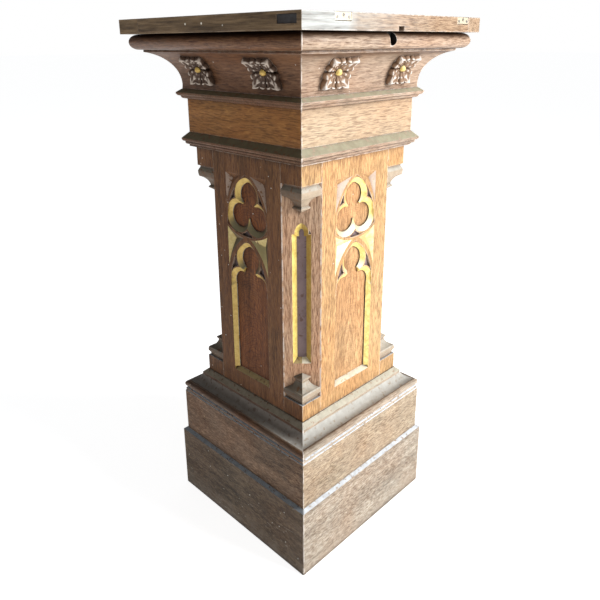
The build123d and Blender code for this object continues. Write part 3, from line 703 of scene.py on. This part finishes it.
def dress(name, wood, finishes=None, rule=None):
    """Give a CAD piece its wood, and pick out its gilt, limed and painted surfaces."""
    obj = nodes[name]
    materials = {"wood": wood, **(finishes or {})}
    obj.data.materials.clear()
    for material in materials.values():
        obj.data.materials.append(material)
    order = list(materials)
    side = next((key for key in SIDES if name.endswith(key)), "front")
    for face in obj.data.polygons:
        face.material_index = order.index(rule(side, obj.data, face)) if rule else 0


def soften(name):
    """Wear a piece's arrises; small fittings stay crisper."""
    obj = nodes[name]
    weld = obj.modifiers.new("weld", "WELD")
    weld.merge_threshold = WELD_REACH
    bevel = obj.modifiers.new("worn_edges", "BEVEL")
    bevel.width = SMALL_WORN_EDGE if obj.dimensions.length < SMALL_PIECE else WORN_EDGE
    bevel.segments = 2
    bevel.limit_method = "ANGLE"
    bevel.angle_limit = SHARP_ANGLE
    bevel.use_clamp_overlap = True


# ---------------------------------------------------------------- carved rosettes

COVE_FOOT = (168.5, 960.4)
COVE_SIZE = (50.5, 70.6)
ROSETTE_X = (-92.0, 92.0)
ROSETTE_MIDDLE = radians(36)
ROSETTE_HALF = 31.5
RINGS = 26
SPOKES = 192
EYE_LIME = 0.1
WALL_FOOT = -2.0
BUTTON_RADIUS = 6.6
BUTTON_SEAT = 5.0
BUTTON_RINGS = 10
BUTTON_SPOKES = 32


def cove_frame(along):
    """Point on the cove and its outward normal, at an arc length from the rosettes' centre line."""
    angle = ROSETTE_MIDDLE
    steps = 24
    for _ in range(steps):
        speed = hypot(COVE_SIZE[0] * sin(angle), COVE_SIZE[1] * cos(angle))
        angle += along / steps / speed
    point = (COVE_FOOT[0] + COVE_SIZE[0] * (1 - cos(angle)), COVE_FOOT[1] + COVE_SIZE[1] * sin(angle))
    slope = Vector((COVE_SIZE[0] * sin(angle), COVE_SIZE[1] * cos(angle))).normalized()
    return point, (slope.y, -slope.x)


def lay_on_cove(x, along, rise, side):
    """A rosette's own coordinates to a point in the model."""
    (out, z), (normal_out, normal_z) = cove_frame(along)
    point = Vector((x, -(out + rise * normal_out), z + rise * normal_z)) * MM
    return Matrix.Rotation(radians(TURN[side]), 3, "Z") @ point


def petal_angle(angle):
    """Angle from the nearest petal's midrib; the four petals point into the corners."""
    quarter = pi / 2
    return (angle % quarter) - quarter / 2


def outline(angle):
    phi = petal_angle(angle)
    square = ROSETTE_HALF / max(abs(cos(angle)), abs(sin(angle)))
    lobes = 0.84 + 0.16 * abs(cos(5 * phi)) ** 0.5
    notch = 10.0 * exp(-((abs(phi) - pi / 4) / radians(4)) ** 2)
    return square * lobes - notch


def relief(share, angle):
    """Height of the carving, and how much lime has stayed on it."""
    phi = petal_angle(angle)
    lobe = abs(cos(5 * phi))
    valley = exp(-((abs(phi) - pi / 4) / radians(7)) ** 2)
    cut = exp(-(lobe / 0.30) ** 2)
    vein = exp(-(phi / radians(3.5)) ** 2)
    dish = 3.4 + 7.4 * share ** 1.6
    lip = exp(-((share - 0.94) / 0.045) ** 2)
    fold = exp(-((share - 0.60) / 0.07) ** 2)
    collar = exp(-((share - 0.30) / 0.05) ** 2)
    height = dish - 2.6 * cut * share ** 0.8 - 7.5 * valley * share ** 0.6 + 1.2 * vein * share
    height += 1.2 * lip + 1.8 * fold * lobe - 3.0 * max(0.0, share - 0.95) / 0.05
    height += 2.2 * collar * (0.5 + 0.5 * cos(8 * angle))
    lime = 0.95 * lip * (1 - 0.7 * valley) + 0.75 * fold * lobe + 0.30 * lobe * share + 0.55 * vein * share
    lime += 0.45 * collar * (0.5 + 0.5 * cos(8 * angle)) - 0.9 * valley - 0.45 * cut
    return max(0.8, height), max(0.0, min(1.0, lime))


def add_ring(model, side, centre, points, previous):
    """A closed loop of (radius, angle, rise) points laid on the cove and joined to the loop before."""
    loop = [model.verts.new(lay_on_cove(centre + radius * cos(angle), radius * sin(angle), rise, side))
            for radius, angle, rise in points]
    count = len(loop)
    for spoke in range(count if previous else 0):
        after = (spoke + 1) % count
        model.faces.new((previous[spoke], loop[spoke], loop[after], previous[after]))
    return loop


def add_carving(name, model, material):
    mesh = bpy.data.meshes.new(name)
    model.normal_update()
    model.to_mesh(mesh)
    model.free()
    for face in mesh.polygons:
        face.use_smooth = True
    mesh.materials.append(material)
    carving = bpy.data.objects.new(name, mesh)
    bpy.context.scene.collection.objects.link(carving)
    return carving


def carve_rosettes(material):
    model = bmesh.new()
    lime_layer = model.verts.layers.float.new("lime")
    for side in SIDES:
        for centre in ROSETTE_X:
            carve_one(model, lime_layer, side, centre)
    carved = add_carving("carved_rosettes", model, material)
    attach(carved, "pillar")
    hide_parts("rosettes")


def carve_one(model, lime_layer, side, centre):
    """One rosette: rings of points from the eye to the lobed rim, then a wall down into the cove."""
    angles = [2 * pi * spoke / SPOKES for spoke in range(SPOKES)]
    eye = model.verts.new(lay_on_cove(centre, 0, relief(0, 0)[0], side))
    eye[lime_layer] = EYE_LIME
    previous = None
    for ring in range(1, RINGS + 1):
        share = ring / RINGS
        carved = [relief(share, angle) for angle in angles]
        points = [(outline(angle) * share, angle, rise) for angle, (rise, _) in zip(angles, carved)]
        loop = add_ring(model, side, centre, points, previous)
        for vert, (_, lime) in zip(loop, carved):
            vert[lime_layer] = lime
        if previous is None:
            for spoke in range(SPOKES):
                model.faces.new((eye, loop[spoke], loop[(spoke + 1) % SPOKES]))
        previous = loop
    add_ring(model, side, centre, [(outline(angle), angle, WALL_FOOT) for angle in angles], previous)


def gilt_buttons(material):
    """Half-round buttons, a little uneven as turned and gilded by hand."""
    model = bmesh.new()
    angles = [2 * pi * spoke / BUTTON_SPOKES for spoke in range(BUTTON_SPOKES)]
    for side in SIDES:
        for centre in ROSETTE_X:
            sizes = [BUTTON_RADIUS * (1 + 0.02 * sin(3 * angle + centre)) for angle in angles]
            crown = previous = None
            for ring in range(BUTTON_RINGS + 1):
                tilt = pi / 2 * ring / BUTTON_RINGS
                points = [(max(0.02, size * sin(tilt)), angle, BUTTON_SEAT + size * cos(tilt))
                          for size, angle in zip(sizes, angles)]
                previous = add_ring(model, side, centre, points, previous)
                crown = crown or previous
            model.faces.new(crown)
    buttons = add_carving("gilt_buttons", model, material)
    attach(buttons, "pillar")
    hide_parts("rosette_buttons")


# ---------------------------------------------------------------- dress every piece

# Pairs below are a finish's shaded and lit colours: painted shade on the left and back, painted light with
# some sun bleaching on the front and right
BROWN = (0.158, 0.069, 0.021)
TAN = (0.60, 0.39, 0.185)
RED_BROWN = (0.195, 0.067, 0.015)
RED_TAN = (0.60, 0.37, 0.18)
FRIEZE_BROWN = (0.285, 0.130, 0.034)
FRIEZE_TAN = (0.52, 0.40, 0.27)
DARK_BROWN = (0.140, 0.070, 0.034)
COVE_TAN = (0.43, 0.325, 0.24)
DUSTY_BROWN = (0.205, 0.128, 0.076)
DUSTY_TAN = (0.46, 0.38, 0.27)
FOOT_BROWN = (0.112, 0.076, 0.043)
FOOT_TAN = (0.44, 0.395, 0.325)
BASE_TAN = (0.52, 0.45, 0.36)
LID_TAN = (0.42, 0.30, 0.195)
CANT_TAN = (0.72, 0.50, 0.34)
PINE = ((0.42, 0.28, 0.16), (0.55, 0.40, 0.25))
PLUM = (0.215, 0.155, 0.165)
PLUM_WORN = (0.12, 0.07, 0.06)
# One gilt in its shaded and lit copies: painted shade and painted light
SHADED_GOLD = (0.62, 0.44, 0.125)
LIT_GOLD = (0.98, 0.80, 0.30)
PALE_GOLD = (0.58, 0.47, 0.20)
PALE_GOLD_LIT = (0.94, 0.86, 0.52)
# Gilt on the spandrel facets turned from the light, darkened as painted shade
FACET_SHADE_GOLD = (0.14, 0.085, 0.040)
FACET_SHADE_GOLD_LIT = (0.74, 0.56, 0.26)
# The cant lancets' two splays: one gilt as painted light and as painted shade
CANT_LIT_GOLD = (0.84, 0.66, 0.20)
CANT_LIT_GOLD_DUST = (0.5, 0.4, 0.2)
CANT_SHADED_GOLD = (0.40, 0.28, 0.08)
CANT_SHADED_GOLD_DUST = (0.3, 0.24, 0.12)
BUTTON_GOLD = (0.66, 0.46, 0.13)
COVE_OAK = (DARK_BROWN, COVE_TAN)

# Name, then the leaf's shaded and lit colours, then those of the dust on it
GILDING = {
    "gilt": ("gilding", (SHADED_GOLD, LIT_GOLD), ((0.20, 0.17, 0.09), (0.84, 0.80, 0.62))),
    "pale_gilt": ("pale_gilt", (PALE_GOLD, PALE_GOLD_LIT), ((0.30, 0.25, 0.12), (0.86, 0.80, 0.58))),
    "worn_gilt": ("worn_gilt", (FACET_SHADE_GOLD, FACET_SHADE_GOLD_LIT), ((0.12, 0.08, 0.04), (0.74, 0.6, 0.3))),
    "bright_gilt": ("cant_gilt_painted_light", (CANT_LIT_GOLD, CANT_LIT_GOLD), (CANT_LIT_GOLD_DUST, CANT_LIT_GOLD_DUST)),
    "dull_gilt": ("cant_gilt_painted_shade", (CANT_SHADED_GOLD, CANT_SHADED_GOLD), (CANT_SHADED_GOLD_DUST, CANT_SHADED_GOLD_DUST)),
    "button": ("gilt_button", (BUTTON_GOLD, (0.86, 0.68, 0.24)), (BUTTON_GOLD, (0.9, 0.74, 0.34))),
}


def gilding(key):
    return leaf_gold(*GILDING[key])


def by_axis(name, shaded, lit, **looks):
    return {axis: oak(f"{name}_{axis}", axis, shaded, lit, **looks) for axis in "xy"}


upright = oak("oak_upright", "z", BROWN, TAN)
cant = oak("oak_cant", "z", BROWN, CANT_TAN, fleck=1.2, lit_side_rule=facing_light)
panel = oak("oak_panel", "z", RED_BROWN, RED_TAN, contrast=0.5, figure=0.75)
plinth_looks = {"contrast": 0.6, "fleck": 1.7, "gloss": 0.56, "shorten": 1.9}
flat = by_axis("oak_rail", *COVE_OAK, gloss=0.36)
cove_wood = by_axis("oak_cove", *COVE_OAK, contrast=0.3, fleck=0.75)
frieze_wood = by_axis("oak_frieze", FRIEZE_BROWN, FRIEZE_TAN, contrast=0.22, fleck=0.45)
dusty = by_axis("oak_dusty", DUSTY_BROWN, DUSTY_TAN, dust=0.35, **plinth_looks)
footing = by_axis("oak_footing", FOOT_BROWN, FOOT_TAN, dust=0.15, greyed=foot_wear, **plinth_looks)
base_wood = by_axis("oak_base", DARK_BROWN, BASE_TAN, dust=0.55, edge_pale=1.0)
lid_wood = by_axis("oak_lid", BROWN, LID_TAN, greyed=lid_weathering, contrast=0.5)
pine = oak("pine", "x", *PINE, contrast=0.3, gloss=0.6)

# Each coat has its shaded and lit colours, then those of what it is rubbed through to
sill = rubbed("gilt_sill", ((0.52, 0.40, 0.19), (0.96, 0.93, 0.76)),
              ((0.26, 0.17, 0.09), (0.60, 0.42, 0.24)))
lime = rubbed("limed_reveal", ((0.40, 0.30, 0.24), (0.74, 0.62, 0.54)), (BROWN, RED_TAN))
# Pale on the shaded sides, dark on the lit sides: a painted highlight and a painted shadow at the splays'
# rear edge
rear_edge = rubbed("rear_edge", ((0.74, 0.70, 0.64), (0.10, 0.07, 0.06)),
                   (BROWN, (0.2, 0.12, 0.08)), tone=0.15)
recess = rubbed("lancet_floor", (PLUM, PLUM), (PLUM_WORN, PLUM_WORN))
hollow = rubbed("purple_hollow", ((0.115, 0.078, 0.078), (0.34, 0.26, 0.28)),
                ((0.06, 0.035, 0.03), (0.18, 0.11, 0.09)))
base_slope = rubbed("base_slope", ((0.290, 0.270, 0.205), (0.62, 0.62, 0.50)), COVE_OAK, cover=0.7)
stop_slope = rubbed("stop_slope", ((0.165, 0.150, 0.115), (0.52, 0.49, 0.41)), COVE_OAK)
slope = rubbed("sage_slope", ((0.135, 0.122, 0.068), (0.40, 0.39, 0.27)), COVE_OAK)
stop = rubbed("stop_paint", ((0.15, 0.105, 0.070), (0.44, 0.35, 0.25)), COVE_OAK, cover=0.9)
slate = rubbed("slate_hollow", ((0.300, 0.285, 0.255), (0.66, 0.70, 0.68)),
               ((0.14, 0.10, 0.075), (0.42, 0.36, 0.29)), cover=0.5, crease=0.003)
# A pale bluish painted highlight for the upward faces of ledges and grooves
ledge = rubbed("painted_highlight_ledge", ((0.36, 0.40, 0.44), (0.84, 0.90, 0.96)), COVE_OAK, cover=0.92, crease=0.001)
# Near-black for the slot and the lancet eyes: painted shadow
black = rubbed("painted_shadow_hollow", ((0.010, 0.009, 0.009), (0.014, 0.012, 0.012)),
               ((0.02, 0.015, 0.012), (0.02, 0.015, 0.012)))
brass = metal("old_brass", (0.60, 0.53, 0.38), (0.42, 0.37, 0.28), 0.46, 0.6)
iron = metal("iron", (0.060, 0.058, 0.060), (0.035, 0.028, 0.024), 0.55, 0.7)
steel = metal("steel", (0.22, 0.21, 0.20), (0.12, 0.11, 0.10), 0.42)
tin = metal("tinplate", (0.17, 0.19, 0.17), (0.10, 0.10, 0.09), 0.45, 0.5)

PLAIN_PIECES = (
    (lid_wood["x"], ("lid_board", "lid_back_rail")),
    (lid_wood["y"], ("lid_cleat",)),
    (pine, ("well_shelf", "shelf_bearers")),
    (brass, ("edge_leaves", "coin_slot_plate", "hinge_rail_leaves", "hinge_lid_leaves")),
    (steel, ("edge_leaf_screws", "hinge_pins", "hinge_screws")),
    (iron, ("edge_side_plate", "lock_case", "lock_barrel", "lock_bolt", "lid_staple")),
    (tin, ("coin_tin",)),
)
CARVED_PIECES = ("rosettes", "rosette_buttons")
TRACERY_FINISHES = {key: gilding(key) for key in ("gilt", "pale_gilt", "worn_gilt")}
TRACERY_FINISHES.update(lime=lime, hollow=hollow, sill=sill, rear_edge=rear_edge)
POST_FINISHES = {key: gilding(key) for key in ("bright_gilt", "dull_gilt")}
POST_FINISHES.update(cant=cant, sill=sill, hollow=recess, black=black)
POST_FINISHES.update(slope=stop_slope, stop=stop, ledge=ledge)
BASE_FINISHES = {"slope": base_slope, "slate": slate, "ledge": ledge}


def dress_side(side):
    axis = "x" if side in ("front", "back") else "y"
    dress(f"lower_plinth_{side}", footing[axis], {"ledge": ledge}, plinth_finish)
    dress(f"upper_plinth_{side}", dusty[axis], {"ledge": ledge}, plinth_finish)
    dress(f"base_moulding_{side}", base_wood[axis], BASE_FINISHES, base_finish)
    dress(f"tracery_{side}", upright, TRACERY_FINISHES, tracery_finish)
    dress(f"backing_panel_{side}", panel)
    dress(f"frieze_{side}", frieze_wood[axis])
    dress(f"cove_{side}", cove_wood[axis])
    dress(f"top_rail_{side}", flat[axis], {"black": black}, rail_finish if side == "front" else None)


def dress_pieces():
    for side in SIDES:
        dress_side(side)
    for corner in ("front_left", "front_right", "back_right", "back_left"):
        dress(f"corner_post_{corner}", upright, POST_FINISHES, post_finish)
    for name in ("neck_moulding", "string_moulding"):
        dress(name, cove_wood["x"], {"slope": slope}, ledge_finish)
    for material, names in PLAIN_PIECES:
        for name in names:
            dress(name, material)


def soften_pieces():
    for name in nodes:
        if name not in CARVED_PIECES:
            soften(name)


dress_pieces()
soften_pieces()
carve_rosettes(carved_oak())
gilt_buttons(gilding("button"))

add_camera()
add_studio()
add_floor()
